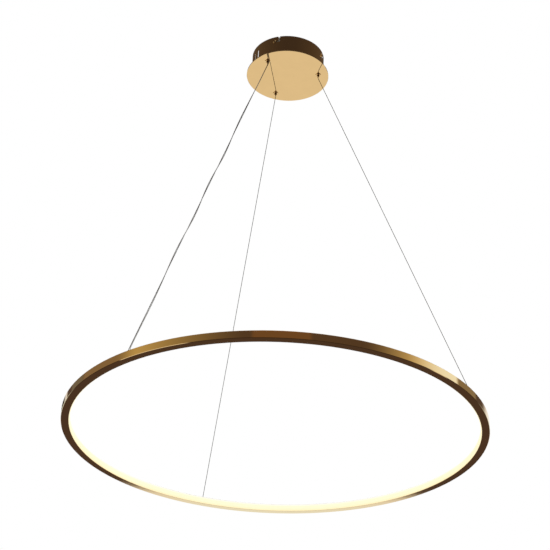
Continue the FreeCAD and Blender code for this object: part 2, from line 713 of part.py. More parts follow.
def canopy_wall():
    """Sheet drum with bent-in tabs, bayonet slots and vents."""
    outer = DRUM_DIAMETER / 2
    drum = turned([(DRUM_INSIDE, PLATE_TOP), (outer, PLATE_TOP), (outer, DRUM_TOP),
                   (DRUM_INSIDE, DRUM_TOP)])
    span = math.degrees(TAB_WIDTH / DRUM_INSIDE)
    inner = DRUM_INSIDE - TAB_REACH
    overlap = DRUM_INSIDE + DRUM_SHEET / 2
    tab = turned([(inner, PLATE_TOP), (overlap, PLATE_TOP), (overlap, PLATE_TOP + DRUM_SHEET),
                  (inner, PLATE_TOP + DRUM_SHEET)], span, -span / 2)
    tab = tab.cut(disc(STUD_DIAMETER / 2 + HOLE_CLEARANCE, PLATE_TOP - 1,
                       PLATE_TOP + DRUM_SHEET + 1, TAB_STUD_RADIUS))
    drum = drum.fuse([turned_to(tab, azimuth) for azimuth in tab_azimuths()])
    cuts = [at_screw(bayonet_cut(), index) for index in range(SCREW_COUNT)]
    middle = (VENTS_PER_SIDE - 1) / 2
    for side in (0, 1):
        for step in range(VENTS_PER_SIDE):
            azimuth = VENT_AZIMUTH + 180.0 * side + (step - middle) * VENT_PITCH
            cuts.append(turned_to(vent_cut(), azimuth))
    return drum.cut(cuts).removeSplitter()


def saddle_stud_reach():
    return DRIVER_WIDTH / 2 + SADDLE_CLEARANCE + SADDLE_SHEET + SADDLE_FOOT / 2


def stud_places():
    """(azimuth, radius, sheet clamped) of every weld stud on the face plate."""
    places = [(azimuth, TAB_STUD_RADIUS, DRUM_SHEET) for azimuth in tab_azimuths()]
    for side in (0, 1):
        azimuth = WIRE_AZIMUTHS[0] + 180.0 * side
        places.append((azimuth, saddle_stud_reach(), SADDLE_SHEET))
    return places


def plate_studs():
    studs = []
    for azimuth, radius, sheet in stud_places():
        stud = disc(STUD_DIAMETER / 2, PLATE_TOP, PLATE_TOP + STUD_HEIGHT, radius)
        studs.append(turned_to(stud, azimuth))
    return Part.makeCompound(studs)


def stud_nuts():
    nuts = []
    for azimuth, radius, sheet in stud_places():
        low = PLATE_TOP + sheet
        nut = hexagon(STUD_NUT_WIDTH, low, low + STUD_NUT_HEIGHT, radius)
        nut = nut.cut(disc(STUD_DIAMETER / 2 + THREAD_CLEARANCE, low - 1,
                           low + STUD_NUT_HEIGHT + 1, radius))
        nuts.append(turned_to(nut, azimuth))
    return Part.makeCompound(nuts)


# --- driver and wiring, drawn with the first gripper on the +X side ---

def led_driver():
    low = PLATE_TOP
    body = block(DRIVER_WIDTH, DRIVER_LENGTH, low, low + DRIVER_HEIGHT)
    upright = [edge for edge in body.Edges if abs(edge.tangentAt(edge.FirstParameter).z) > 0.9]
    return at_wire(body.makeFillet(DRIVER_ROUND, upright), 0)


def driver_saddle():
    inner = DRIVER_WIDTH / 2 + SADDLE_CLEARANCE
    outer = inner + SADDLE_SHEET
    foot = outer + SADDLE_FOOT
    low = PLATE_TOP
    under = low + DRIVER_HEIGHT + SADDLE_CLEARANCE
    top = under + SADDLE_SHEET
    outline = rounded_outline([
        (-foot, low), (-inner, low), (-inner, under), (inner, under), (inner, low),
        (foot, low), (foot, low + SADDLE_SHEET), (outer, low + SADDLE_SHEET),
        (outer, top, 2 * SADDLE_SHEET), (-outer, top, 2 * SADDLE_SHEET),
        (-outer, low + SADDLE_SHEET), (-foot, low + SADDLE_SHEET),
    ])
    strap = Part.Face(outline).extrude(point(0, SADDLE_WIDTH, 0))
    strap.translate(point(0, -SADDLE_WIDTH / 2, 0))
    for side in (-1, 1):
        strap = strap.cut(disc(STUD_DIAMETER / 2 + HOLE_CLEARANCE, low - 1,
                               low + SADDLE_SHEET + 1, side * saddle_stud_reach()))
    return at_wire(strap, 0)


def block_middle():
    return -(DRIVER_LENGTH / 2 + BLOCK_GAP + BLOCK_DEPTH / 2)


def terminal_block():
    """Three-pole block with a screw well over each pole."""
    middle = block_middle()
    high = PLATE_TOP + BLOCK_HEIGHT
    body = block(BLOCK_LENGTH, BLOCK_DEPTH, PLATE_TOP, high, 0, middle)
    for pole in range(BLOCK_POLES):
        x = (pole - (BLOCK_POLES - 1) / 2) * POLE_PITCH
        body = body.cut(disc(POLE_SCREW_DIAMETER / 2, high - POLE_WELL_DEPTH, high + 1, x, middle))
    return at_wire(body, 0)


def driver_input_leads():
    """Live and neutral, straight across from the terminal block to the driver."""
    leads = []
    end = -DRIVER_LENGTH / 2
    level = PLATE_TOP + INPUT_LEAD_HEIGHT
    for side in (-1, 1):
        x = side * POLE_PITCH
        points = [point(x, end - BLOCK_GAP, level), point(x, end, level)]
        leads.append(at_wire(cord(points, INPUT_LEAD_DIAMETER, []), 0))
    return Part.makeCompound(leads)


def inner_lead():
    """Inner end of the power lead, from the driver round to the first gripper's channel."""
    outlet = PLATE_TOP + OUTPUT_LEAD_HEIGHT
    points = [
        point(OUTPUT_LEAD_OFFSET, DRIVER_LENGTH / 2, outlet),
        point(OUTPUT_LEAD_OFFSET, DRIVER_LENGTH / 2 + OUTPUT_LEAD_RUN, outlet),
    ]
    for azimuth, inset, rise in OUTPUT_LEAD_LOOP:
        turn = math.radians(azimuth)
        reach = DRUM_INSIDE - inset
        points.append(point(reach * math.cos(turn), reach * math.sin(turn), outlet + rise))
    points += [
        point(GRIPPER_CIRCLE - OUTPUT_LEAD_ARCH, LEAD_CHANNEL_OFFSET, points[-1].z),
        point(GRIPPER_CIRCLE, LEAD_CHANNEL_OFFSET, BARREL_TOP + OUTPUT_LEAD_DROP),
        point(GRIPPER_CIRCLE, LEAD_CHANNEL_OFFSET, BARREL_TOP),
    ]
    return at_wire(cord(points, LEAD_DIAMETER, widest_bends(points)), 0)


# --- ceiling bracket ---

def ear_face():
    """Distance of the ears' outer faces from the middle."""
    return math.sqrt((DRUM_INSIDE - EAR_CLEARANCE) ** 2 - (ARM_WIDTH / 2) ** 2)


def ceiling_bracket():
    """Stamped steel: round hub, four arms with ears bent down, slots for the ceiling screws."""
    face = ear_face()
    low = -BRACKET_SHEET
    body = disc(BRACKET_HUB_DIAMETER / 2, low, 0)
    arm = Part.makeBox(face, ARM_WIDTH, BRACKET_SHEET, point(0, -ARM_WIDTH / 2, low))
    ear = Part.makeBox(BRACKET_SHEET, ARM_WIDTH, EAR_HEIGHT,
                       point(face - BRACKET_SHEET, -ARM_WIDTH / 2, -EAR_HEIGHT))
    arm = arm.fuse(ear)
    bend = [edge for edge in arm.Edges
            if abs(edge.CenterOfMass.x - face) < 0.01 and abs(edge.CenterOfMass.z) < 0.01]
    arm = arm.makeFillet(EAR_BEND_RADIUS, bend)
    arm = arm.cut(radial_rod(SCREW_DIAMETER / 2 + THREAD_CLEARANCE, face - 2 * BRACKET_SHEET,
                             face + 1, -SCREW_DEPTH))
    body = body.fuse([at_screw(arm, index) for index in range(SCREW_COUNT)])
    cuts = [disc(CABLE_HOLE_DIAMETER / 2, low - 1, 1)]
    straight = FIXING_SLOT_LENGTH - FIXING_SLOT_WIDTH
    for side in (-1, 1):
        middle = side * FIXING_SPACING / 2
        cuts.append(block(straight, FIXING_SLOT_WIDTH, low - 1, 1, middle))
        for end in (-1, 1):
            cuts.append(disc(FIXING_SLOT_WIDTH / 2, low - 1, 1, middle + end * straight / 2))
    cuts.append(disc(EARTH_SCREW_DIAMETER / 2 + THREAD_CLEARANCE, low - 1, 1, *EARTH_SCREW_PLACE))
    return body.cut(cuts).removeSplitter()


def ear_nuts():
    """Weld nuts on the insides of the ears."""
    high = ear_face() - BRACKET_SHEET
    nut = hexagon(EAR_NUT_WIDTH, high - EAR_NUT_LENGTH, high)
    nut = nut.cut(disc(SCREW_DIAMETER / 2 + THREAD_CLEARANCE, high - EAR_NUT_LENGTH - 1, high + 1))
    nut.rotate(ORIGIN, Y_AXIS, 90)
    nut.translate(point(0, 0, -SCREW_DEPTH))
    return Part.makeCompound([at_screw(nut, index) for index in range(SCREW_COUNT)])


def locking_screws():
    """Screws through the drum's bayonet slots into the ears; the head has a coin slot."""
    seat = DRUM_DIAMETER / 2 + SCREW_HEAD_GAP
    head = SCREW_HEAD_DIAMETER / 2
    shank = SCREW_DIAMETER / 2
    screw = turned([(0, seat - SCREW_LENGTH), (shank, seat - SCREW_LENGTH), (shank, seat),
                    (head, seat), (head, seat + SCREW_HEAD_HEIGHT, SCREW_HEAD_HEIGHT / 2),
                    (0, seat + SCREW_HEAD_HEIGHT)])
    slot = block(COIN_SLOT_WIDTH, SCREW_HEAD_DIAMETER, seat + SCREW_HEAD_HEIGHT - COIN_SLOT_DEPTH,
                 seat + SCREW_HEAD_HEIGHT + 1)
    screw = screw.cut(slot)
    screw.rotate(ORIGIN, Y_AXIS, 90)
    screw.translate(point(0, 0, -SCREW_DEPTH))
    return Part.makeCompound([at_screw(screw, index) for index in range(SCREW_COUNT)])


def earth_screw():
    """Earth terminal under the bracket's hub: washer, head and thread in one stack."""
    under = -BRACKET_SHEET
    washer = under - EARTH_WASHER_HEIGHT
    head = EARTH_HEAD_DIAMETER / 2
    screw = turned([(0, washer - EARTH_HEAD_HEIGHT),
                    (head, washer - EARTH_HEAD_HEIGHT, EARTH_HEAD_HEIGHT / 2),
                    (head, washer), (EARTH_WASHER_DIAMETER / 2, washer),
                    (EARTH_WASHER_DIAMETER / 2, under), (EARTH_SCREW_DIAMETER / 2, under),
                    (EARTH_SCREW_DIAMETER / 2, -GLUE_GAP), (0, -GLUE_GAP)])
    slot = block(COIN_SLOT_WIDTH, EARTH_HEAD_DIAMETER, washer - EARTH_HEAD_HEIGHT - 1,
                 washer - EARTH_HEAD_HEIGHT + COIN_SLOT_DEPTH)
    screw = screw.cut(slot)
    screw.translate(point(*EARTH_SCREW_PLACE, 0))
    return screw


def build():
    """Every node's name and shape."""
    nodes = {
        "ceiling_bracket": ceiling_bracket(),
        "ear_nuts": ear_nuts(),
        "locking_screws": locking_screws(),
        "earth_screw": earth_screw(),
        "canopy_wall": canopy_wall(),
        "canopy_plate": canopy_plate(),
        "plate_studs": plate_studs(),
        "stud_nuts": stud_nuts(),
        "led_driver": led_driver(),
        "driver_saddle": driver_saddle(),
        "terminal_block": terminal_block(),
        "driver_input_leads": driver_input_leads(),
        "inner_lead": inner_lead(),
        "power_lead": power_lead(),
        "ring_channel_a": ring_half(0),
        "ring_channel_b": ring_half(1),
        "ring_joiner_a": ring_joiner(0),
        "ring_joiner_b": ring_joiner(1),
        "joiner_set_screws": joiner_set_screws(),
        "diffuser": diffuser(),
        "led_strip": led_strip(),
        "phosphor_line": phosphor_line(),
        "anchor_nuts": anchor_nuts(),
        "lead_grommet": lead_grommet(),
        "strip_connector": strip_connector(),
    }
    repeated = {
        "gripper_nut": gripper_nut(),
        "gripper_cap": gripper_cap(),
        "gripper_plunger": gripper_plunger(),
        "gripper_balls": gripper_balls(),
        "gripper_spring": gripper_spring(),
        "suspension_wire": suspension_wire(),
        "cable_anchor": cable_anchor(),
        "cable_stop": cable_stop(),
    }
    for index in range(WIRE_COUNT):
        number = str(index + 1)
        nodes["gripper_body_" + number] = at_wire(gripper_body(index == 0), index)
        for name, shape in repeated.items():
            nodes[name + "_" + number] = at_wire(shape, index)
    return nodes


def main():
    os.makedirs("parts", exist_ok=True)
    for name, shape in build().items():
        if not shape.isValid():
            raise ValueError(name + " is not a valid solid")
        shape.exportStep("parts/" + name + ".step")
    print("wire slant", round(math.degrees(WIRE_SLANT), 2), "degrees")


main()
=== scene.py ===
import json
import math

import bpy
from mathutils import Matrix, Vector

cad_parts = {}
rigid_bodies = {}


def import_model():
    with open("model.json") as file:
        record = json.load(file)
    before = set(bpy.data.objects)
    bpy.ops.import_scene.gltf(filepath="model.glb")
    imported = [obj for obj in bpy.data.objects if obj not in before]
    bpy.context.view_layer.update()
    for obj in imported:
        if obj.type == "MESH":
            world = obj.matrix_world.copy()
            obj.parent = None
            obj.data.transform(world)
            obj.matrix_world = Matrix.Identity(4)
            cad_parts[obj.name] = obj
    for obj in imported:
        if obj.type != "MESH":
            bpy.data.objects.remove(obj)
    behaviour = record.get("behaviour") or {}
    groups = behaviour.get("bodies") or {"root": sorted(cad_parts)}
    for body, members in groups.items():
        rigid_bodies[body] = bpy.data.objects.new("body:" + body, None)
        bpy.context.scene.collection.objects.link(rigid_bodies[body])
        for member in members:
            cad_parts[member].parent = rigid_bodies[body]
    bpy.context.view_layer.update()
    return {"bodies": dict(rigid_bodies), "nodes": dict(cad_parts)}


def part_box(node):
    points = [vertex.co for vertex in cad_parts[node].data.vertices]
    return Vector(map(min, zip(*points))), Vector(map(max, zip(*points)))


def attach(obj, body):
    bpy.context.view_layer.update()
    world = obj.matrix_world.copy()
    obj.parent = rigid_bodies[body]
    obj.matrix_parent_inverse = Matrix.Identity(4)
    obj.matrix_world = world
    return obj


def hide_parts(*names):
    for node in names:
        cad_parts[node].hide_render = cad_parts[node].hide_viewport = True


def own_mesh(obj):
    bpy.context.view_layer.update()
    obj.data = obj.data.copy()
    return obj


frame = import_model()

bl_info = {
    "name": "LED Ring Chandelier",
    "version": (1, 0, 0),
    "blender": (4, 5, 0),
    "location": "View3D > Sidebar > Chandelier",
    "description": "Dresses a chandelier's frame: wires, springs, finishes, floor, light and camera",
    "category": "Object",
}

# Routes of the cords in metres, drawn with their wire on the +X side.
WIRE_AZIMUTHS = (-130.8, -7.8, 111.8)
WIRE_ROUTE = [
    (0.083, 0.0, -0.037),
    (0.083, 0.0, -0.06373),
    (0.083, 0.0, -0.07273),
    (0.086335, 0.0, -0.081089),
    (0.487415, 0.0, -1.086411),
    (0.49075, 0.0, -1.09477),
    (0.49075, 0.0, -1.10377),
    (0.49075, 0.0, -1.1095),
]
LEAD_ROUTE = [
    (0.083, 0.0049, -0.041),
    (0.083, 0.0049, -0.0555),
    (0.083, 0.0049, -0.0675),
    (0.08896, 0.00195, -0.086),
    (0.096245, 0.00195, -0.10426),
    (0.48205, 0.00195, -1.07465),
    (0.48598, 0.00195, -1.0845),
    (0.49075, 0.007, -1.0925),
    (0.49075, 0.007, -1.0985),
    (0.49075, 0.007, -1.1102),
]
ROPE_STRANDS = 6
STRAND_POINTS = 4                # of the outline, to one strand
STEPS_TO_LAY = 10
LEAD_STEP = 0.003
LEAD_SIDES = 16

GRIPPER_CIRCLE = 0.083
SPRING_LOW = -0.05575
SPRING_HIGH = -0.0453
SPRING_RADIUS = 0.0025
SPRING_TURNS = 4
SPRING_POINTS = 32               # to one turn
SPRING_SIDES = 8
FLOOR_SIDES = 96

# Radii at which finishes are unrolled round the ring or the drum.
RING_RADIUS = 0.5
TAPE_RADIUS = 0.4979
PHOSPHOR_RADIUS = 0.497
ANCHOR_CIRCLE = 0.49075
DIFFUSER_RADIUS = 0.48
DRUM_RADIUS = 0.0965

RING_SEAMS = (-39.0, 141.0)      # angles of the joints between the ring's two halves
SEAM_HALF_WIDTH = 0.00012
SEAM_SOFTNESS = 0.00004

# Screw threads: axis of the place, start, end, pitch.
BARREL_THREAD = (2, -0.0588, -0.0412, 0.001)
ANCHOR_THREAD = (2, -1.1054, -1.0988, 0.0008)
STUD_THREAD = (2, -0.0588, -0.0512, 0.0007)
SCREW_THREAD = (1, 0.080, 0.0952, 0.0007)
GOLD_THREAD_RELIEF = 20          # both reliefs times their bump's distance are 0.3 mm
ZINC_THREAD_RELIEF = 10

PAINTED_SHADE_HEIGHTS = (-1.0, -0.25)   # no painted shade at the first height, full painted shade at the second

GOLD = (0.73, 0.50, 0.23)
SEAM_LINE = (0.06, 0.042, 0.022)
ZINC = (0.62, 0.64, 0.65)
DULL_ZINC = (0.46, 0.47, 0.48)
MILL_ALUMINIUM = (0.78, 0.78, 0.77)
BLACK_OXIDE = (0.045, 0.046, 0.05)
BEARING_STEEL = (0.56, 0.57, 0.58)
ROPE_STEEL = (0.34, 0.34, 0.34)
ROPE_HOLLOW = (0.12, 0.12, 0.12)
# Painted shade that darkens the wires and the lead towards the grippers at the top.
PAINTED_SHADE = (0.035, 0.031, 0.026)
LIVE_BROWN = (0.19, 0.09, 0.045)
NEUTRAL_BLUE = (0.05, 0.16, 0.42)

CAMERA_PLACE = (0.0, -3.2258, -2.5352)
CAMERA_ANGLES = (-0.243, 29.908, -2.15)    # yaw, pitch and roll in degrees
CAMERA_LENS = 97.84
SENSOR_WIDTH = 36.0
CAMERA_REACH = 50.0

# The room that the metal reflects. Heights are the upward part of a direction and bearings are
# in degrees, 0 towards -Y and 90 towards +X. Four values say where a band starts, where it is
# full from and to, and where it ends; two say where it starts and from where on it is full.
BACK_WALL_HEIGHTS = (-0.375, -0.35, 0.0, 0.1)
BACK_WALL_BEARINGS = (110.0, 140.0)
SKIRTING_HEIGHTS = (-0.542, -0.518, -0.371, -0.364)
SIDE_HEIGHTS = (-0.60, -0.585, -0.18, -0.06)
SIDE_BEARINGS = (125.0, 140.0)   # the sides fade out between these, on either hand
SIDE_GAP = (88.0, 91.0, 112.0, 118.0)
FRONT_HEIGHTS = (-0.97, -0.93, -0.59, -0.575)
FRONT_BEARINGS = (-66.0, -60.0, 95.0, 100.0)
WALL_HEIGHTS = (-0.04, 0.06, 0.50, 0.52)
BOARD_BEARINGS = (-151.0, -147.0, 141.0, 154.0)
GOLDEN_BEARINGS = (-96.0, -77.0, 0.0, 1.0)
FRIEZE_HEIGHTS = (0.50, 0.53, 0.69, 0.72)
FRIEZE_BEARINGS = (5.0, 150.0)
CEILING_HEIGHTS = (0.69, 0.76)
BACK_PANELS = (
    ((-176.0, -171.0, -158.0, -150.0), (0.055, 0.047, 0.036)),
    ((-142.0, -138.0, -126.0, -122.0), (0.21, 0.19, 0.155)),
    ((-126.0, -122.0, -96.0, -80.0), (0.30, 0.225, 0.15)),
    ((111.5, 113.5, 130.0, 134.0), (0.31, 0.26, 0.18)),
)
FRONT_PANELS = (
    ((-15.0, -12.0, 15.5, 18.5), (0.205, 0.118, 0.065)),
    ((44.0, 91.0, 111.5, 113.5), (0.85, 0.72, 0.42)),
    ((70.0, 100.0, 111.5, 113.5), (1.17, 1.36, 1.60)),
)


# --- node trees written as sums ---

class Value:
    """One output socket; a sum on it adds Math nodes to its tree."""

    def __init__(self, sheet, socket):
        self.sheet = sheet
        self.socket = socket

    def __add__(self, other):
        return self.sheet.math("ADD", self, other)

    __radd__ = __add__

    def __sub__(self, other):
        return self.sheet.math("SUBTRACT", self, other)

    def __rsub__(self, other):
        return self.sheet.math("SUBTRACT", other, self)

    def __mul__(self, other):
        return self.sheet.math("MULTIPLY", self, other)

    __rmul__ = __mul__

    def __truediv__(self, other):
        return self.sheet.math("DIVIDE", self, other)

    def __rtruediv__(self, other):
        return self.sheet.math("DIVIDE", other, self)


class Sheet:
    """The node tree of one finish or of the world."""

    def __init__(self, tree):
        self.tree = tree
        tree.nodes.clear()

    def node(self, kind, settings=None, inputs=None, output=0):
        """Adds a node: its settings first, then its sockets' values or links."""
        made = self.tree.nodes.new("ShaderNode" + kind)
        for name, setting in (settings or {}).items():
            setattr(made, name, setting)
        for key, entry in (inputs or {}).items():
            if isinstance(entry, Value):
                self.tree.links.new(entry.socket, made.inputs[key])
            else:
                made.inputs[key].default_value = entry
        return Value(self, made.outputs[output]) if made.outputs else made

    def math(self, operation, first, second=0.0):
        return self.node("Math", {"operation": operation}, {0: first, 1: second})

    def step(self, value, low, high):
        """0 below low, 1 above high, smooth between them."""
        return self.node("MapRange", {"interpolation_type": "SMOOTHSTEP"},
                         {"Value": value, "From Min": low, "From Max": high})

    def plateau(self, value, start, rise, fall, end):
        """0 up to start, 1 from rise to fall, 0 again from end on."""
        return self.step(value, start, rise) * (1 - self.step(value, fall, end))

    def between(self, value, low, high, soft):
        return self.plateau(value, low - soft, low + soft, high - soft, high + soft)

    def rays(self):
        """1 for each kind of ray: seen by the camera, in gloss, through clear material."""
        made = self.node("LightPath").socket.node
        return [Value(self, made.outputs["Is " + kind + " Ray"])
                for kind in ("Camera", "Glossy", "Transmission")]

    def mix(self, first, second, factor):
        """Colour that goes from the first to the second."""
        inputs = {0: factor}
        for key, colour in ((6, first), (7, second)):
            inputs[key] = colour if isinstance(colour, Value) else (*colour, 1.0)
        return self.node("Mix", {"data_type": "RGBA"}, inputs, 2)

    def place(self):
        """Where a point is in the object's own space, in metres."""
        return self.node("TexCoord", output="Object")

    def parts(self, vector):
        made = self.node("SeparateXYZ", inputs={0: vector}).socket.node
        return [Value(self, socket) for socket in made.outputs]

    def joined(self, x, y, z):
        return self.node("CombineXYZ", inputs={0: x, 1: y, 2: z})

    def around(self, radius):
        """Unrolled place: arc length at a radius, distance from the axis, height."""
        x, y, z = self.parts(self.place())
        reach = self.math("SQRT", x * x + y * y)
        return self.joined(self.math("ARCTAN2", y, x) * radius, reach, z)

    def stretched(self, vector, along, across, up):
        x, y, z = self.parts(vector)
        return self.joined(x * along, y * across, z * up)

    def noise(self, vector, scale, detail=3.0, roughness=0.5):
        return self.node("TexNoise", inputs={
            "Vector": vector, "Scale": scale, "Detail": detail, "Roughness": roughness})

    def thread(self, value, start, end, pitch):
        """Screw thread as a height, 1 on its crests, between two places on its axis."""
        wave = self.math("PINGPONG", value, pitch / 2) / (pitch / 2)
        return wave * self.between(value, start, end, 0.0001)

    def painted_shade_above(self, vector):
        """Painted shade mask: 1 near the grippers at the top, fading out down the wires."""
        return self.step(self.parts(vector)[2], *PAINTED_SHADE_HEIGHTS)

    def bump(self, height, distance):
        return self.node("Bump", inputs={"Height": height, "Distance": distance, "Strength": 1.0})

    def surface(self, **inputs):
        """Principled surface as the tree's output; socket names are written with underscores."""
        named = {}
        for name, entry in inputs.items():
            socket = name.replace("_", " ")
            is_colour = isinstance(entry, tuple) and len(entry) == 3 and "Color" in socket
            named[socket] = (*entry, 1.0) if is_colour else entry
        shader = self.node("BsdfPrincipled", inputs=named)
        self.node("OutputMaterial", inputs={"Surface": shader})


def material(name):
    made = bpy.data.materials.new(name)
    made.use_nodes = True
    return made, Sheet(made.node_tree)


# --- finishes ---

def plated_gold(name, tint, unrolled_radius=None, gloss=0.02, threads=(), seams=()):
    """Polished gold plating: soft waviness, faint clouds in the colour and hair-fine polish lines.

    A thread is (axis of the place, start, end, pitch); a seam is an angle round the ring.
    """
    made, sheet = material(name)
    where = sheet.place() if unrolled_radius is None else sheet.around(unrolled_radius)
    clouds = sheet.noise(where, 38.0, 4.0, 0.6)
    along = 90.0 if unrolled_radius is None else 12.0
    lines = sheet.noise(sheet.stretched(where, along, 2600.0, 2600.0), 1.0, 2.0, 0.7)
    deep = tuple(channel * 0.93 for channel in tint)
    pale = tuple(min(channel * 1.04, 1.0) for channel in tint)
    colour = sheet.mix(deep, pale, clouds * 0.7 + lines * 0.3)
    height = clouds * 0.96 + lines * 0.04
    for axis, start, end, pitch in threads:
        height = height + sheet.thread(sheet.parts(where)[axis], start, end, pitch) * GOLD_THREAD_RELIEF
    for angle in seams:
        middle = math.radians(angle) * unrolled_radius
        joint = sheet.between(sheet.parts(where)[0], middle - SEAM_HALF_WIDTH,
                              middle + SEAM_HALF_WIDTH, SEAM_SOFTNESS)
        colour = sheet.mix(colour, SEAM_LINE, joint)
    sheet.surface(Base_Color=colour, Metallic=1.0,
                  Roughness=clouds * 0.015 + lines * 0.005 + gloss - 0.01,
                  Normal=sheet.bump(height, 0.000015))
    return made


def zinc_plate(name, threads=()):
    """Bright zinc on stamped steel: crystals, dull patches and rolling lines."""
    made, sheet = material(name)
    where = sheet.place()
    crystals = sheet.node("TexVoronoi", inputs={"Vector": where, "Scale": 420.0}, output="Distance")
    patches = sheet.noise(where, 60.0, 5.0, 0.65)
    lines = sheet.noise(sheet.stretched(where, 40.0, 1800.0, 1800.0), 1.0, 2.0)
    colour = sheet.mix(DULL_ZINC, ZINC, patches * 0.8 + crystals * 0.3)
    height = lines * 0.5 + crystals * 0.5
    for axis, start, end, pitch in threads:
        height = height + sheet.thread(sheet.parts(where)[axis], start, end, pitch) * ZINC_THREAD_RELIEF
    sheet.surface(Base_Color=colour, Metallic=1.0, Roughness=patches * 0.22 + crystals * 0.08 + 0.2,
                  Normal=sheet.bump(height, 0.00003))
    return made


def mill_aluminium(name):
    """Drawn aluminium as it left the die: fine lines along its length."""
    made, sheet = material(name)
    where = sheet.around(ANCHOR_CIRCLE)
    lines = sheet.noise(sheet.stretched(where, 6.0, 3200.0, 3200.0), 1.0, 3.0, 0.7)
    stains = sheet.noise(where, 45.0, 4.0, 0.6)
    colour = sheet.mix((0.60, 0.60, 0.59), MILL_ALUMINIUM, lines * 0.6 + stains * 0.4)
    sheet.surface(Base_Color=colour, Metallic=1.0, Roughness=lines * 0.18 + stains * 0.1 + 0.22,
                  Normal=sheet.bump(lines, 0.00004))
    return made


def machined_steel(name, tint, gloss):
    """Turned or ground steel with fine tool marks and a trace of oil."""
    made, sheet = material(name)
    where = sheet.place()
    marks = sheet.noise(sheet.stretched(where, 2500.0, 2500.0, 9000.0), 1.0, 2.0, 0.6)
    film = sheet.noise(where, 220.0, 4.0, 0.6)
    worn = tuple(min(channel * 1.5 + 0.02, 1.0) for channel in tint)
    sheet.surface(Base_Color=sheet.mix(tint, worn, film * 0.5 + marks * 0.25), Metallic=1.0,
                  Roughness=marks * 0.12 + film * 0.1 + gloss, Normal=sheet.bump(marks, 0.000006))
    return made


def rope_steel(name):
    """Galvanised rope wire with painted shade that darkens its upper end near the gripper."""
    made, sheet = material(name)
    where = sheet.place()
    dust = sheet.noise(where, 160.0, 4.0, 0.6)
    drawn = sheet.noise(sheet.stretched(where, 4000.0, 4000.0, 300.0), 1.0, 2.0)
    steel = sheet.mix(ROPE_HOLLOW, ROPE_STEEL, dust * 0.7 + drawn * 0.3)
    # Painted shade: the steel darkens towards the gripper at the top.
    painted_shade_above = sheet.mix(steel, PAINTED_SHADE, sheet.painted_shade_above(where))
    sheet.surface(Base_Color=painted_shade_above, Metallic=1.0, Roughness=dust * 0.2 + 0.26,
                  Normal=sheet.bump(drawn, 0.000008))
    return made


def moulded_plastic(name, tint, grain_size, gloss):
    """Moulded case: spark-eroded grain and slight clouding."""
    made, sheet = material(name)
    where = sheet.place()
    grain = sheet.noise(where, 1.0 / grain_size, 2.0, 0.6)
    clouds = sheet.noise(where, 30.0, 3.0)
    dull = tuple(channel * 0.88 for channel in tint)
    sheet.surface(Base_Color=sheet.mix(dull, tint, clouds * 0.6 + grain * 0.4), Metallic=0.0,
                  Roughness=grain * 0.16 + gloss, Normal=sheet.bump(grain, 0.00002))
    return made


def mains_sheaths(name, live, neutral, gloss):
    """Extruded sheaths of a live and a neutral lead, one on each side of the driver's middle."""
    made, sheet = material(name)
    where = sheet.place()
    rings = sheet.noise(where, 700.0, 2.0)
    handled = sheet.noise(where, 90.0, 4.0, 0.6)
    x, y = sheet.parts(where)[:2]
    turn = math.radians(WIRE_AZIMUTHS[0])
    side = sheet.step(x * math.cos(turn) + y * math.sin(turn), -0.0005, 0.0005)
    dull = [tuple(channel * 0.85 for channel in tint) for tint in (live, neutral)]
    colour = sheet.mix(sheet.mix(dull[0], live, handled), sheet.mix(dull[1], neutral, handled), side)
    sheet.surface(Base_Color=colour, Metallic=0.0, Roughness=handled * 0.15 + gloss,
                  Normal=sheet.bump(rings, 0.00001))
    return made


def clear_lead(name):
    """Clear sheath over tinned copper strands, which show through it."""
    made, sheet = material(name)
    where = sheet.place()
    strands = sheet.noise(sheet.stretched(where, 3500.0, 3500.0, 400.0), 1.0, 2.0)
    film = sheet.noise(where, 120.0, 4.0, 0.6)
    copper = sheet.mix((0.26, 0.25, 0.24), (0.60, 0.585, 0.56), strands * 0.6 + film * 0.4)
    # Painted shade: the copper darkens towards the gripper at the top.
    colour = sheet.mix(copper, (0.06, 0.055, 0.05), sheet.painted_shade_above(where) * 0.9)
    sheet.surface(Base_Color=colour, Metallic=0.85, Roughness=film * 0.15 + 0.24,
                  Coat_Weight=1.0, Coat_Roughness=0.08, Normal=sheet.bump(strands, 0.000008))
    return made


def clear_bush(name):
    """Clear moulded bush with faint flow marks."""
    made, sheet = material(name)
    flow = sheet.noise(sheet.place(), 500.0, 2.0)
    sheet.surface(Base_Color=sheet.mix((0.85, 0.86, 0.84), (0.95, 0.95, 0.93), flow),
                  Roughness=flow * 0.1 + 0.1, Transmission_Weight=0.6, IOR=1.49,
                  Normal=sheet.bump(flow, 0.00001))
    return made


def opal_glow(name, glow, strength):
    """Opal strip lit from behind: warmest at its lower edge, palest at its upper edge."""
    made, sheet = material(name)
    height = sheet.parts(sheet.place())[2]
    low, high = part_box("diffuser")
    rise = (height - low.z) / (high.z - low.z)
    clouds = sheet.noise(sheet.around(DIFFUSER_RADIUS), 26.0, 3.0)
    warm = (glow[0], glow[1] * 0.92, glow[2] * 0.75)
    pale = (glow[0], min(glow[1] * 1.05, 1.0), min(glow[2] * 1.5, 1.0))
    light = sheet.mix(warm, glow, sheet.step(rise + clouds * 0.08, 0.02, 0.42))
    light = sheet.mix(light, pale, sheet.step(rise, 0.62, 1.0))
    body = sheet.mix((0.33, 0.32, 0.26), (0.37, 0.36, 0.30), clouds)
    sheet.surface(Base_Color=body, Roughness=clouds * 0.1 + 0.4,
                  Emission_Color=light, Emission_Strength=strength)
    return made


